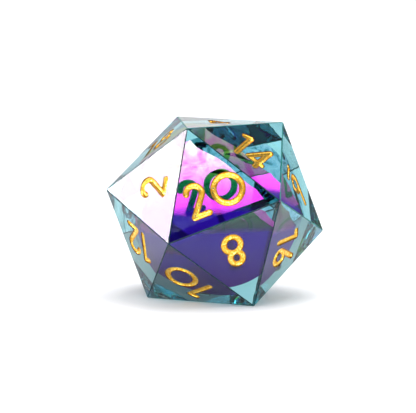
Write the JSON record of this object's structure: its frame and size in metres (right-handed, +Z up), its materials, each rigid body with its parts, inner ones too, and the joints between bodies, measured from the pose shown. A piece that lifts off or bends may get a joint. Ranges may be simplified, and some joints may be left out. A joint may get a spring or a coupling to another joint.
{
  "type": "polyhedral die",
  "caption": "Sharp-edged icosahedral tabletop die cast in clear resin around a colour-shifting film disc, with gold-painted engraved numerals.",
  "frame": {"origin": "centre of the resting face (face 17), on the ground plane under the die's centre", "axes": "+Z up through face 4, which is level on top; -Y is the level direction that face 20 looks towards; +X to the right when face 20 is seen from the front"},
  "size_m": [0.0244, 0.0228, 0.02],
  "materials": {
    "front_resin": "polished",
    "back_resin": "polished",
    "dichroic_film": "polished",
    "gold_paint": "satin"
  },
  "bodies": {
    "root": {"film_disc": "dichroic_film", "paint_f01_digit1_1": "gold_paint", "paint_f02_digit1_2": "gold_paint", "paint_f03_digit1_3": "gold_paint", "paint_f04_digit1_4": "gold_paint", "paint_f05_digit1_5": "gold_paint", "paint_f06_digit1_6": "gold_paint", "paint_f06_underline": "gold_paint", "paint_f07_digit1_7": "gold_paint", "paint_f08_digit1_8": "gold_paint", "paint_f09_digit1_9": "gold_paint", "paint_f09_underline": "gold_paint", "paint_f10_digit1_1": "gold_paint", "paint_f10_digit2_0": "gold_paint", "paint_f11_digit1_1": "gold_paint", "paint_f11_digit2_1": "gold_paint", "paint_f12_digit1_1": "gold_paint", "paint_f12_digit2_2": "gold_paint", "paint_f13_digit1_1": "gold_paint", "paint_f13_digit2_3": "gold_paint", "paint_f14_digit1_1": "gold_paint", "paint_f14_digit2_4": "gold_paint", "paint_f15_digit1_1": "gold_paint", "paint_f15_digit2_5": "gold_paint", "paint_f16_digit1_1": "gold_paint", "paint_f16_digit2_6": "gold_paint", "paint_f17_digit1_1": "gold_paint", "paint_f17_digit2_7": "gold_paint", "paint_f18_digit1_1": "gold_paint", "paint_f18_digit2_8": "gold_paint", "paint_f19_digit1_1": "gold_paint", "paint_f19_digit2_9": "gold_paint", "paint_f20_digit1_2": "gold_paint", "paint_f20_digit2_0": "gold_paint", "resin_back_pour": "back_resin", "resin_front_pour": "front_resin"}
  },
  "joints": []
}
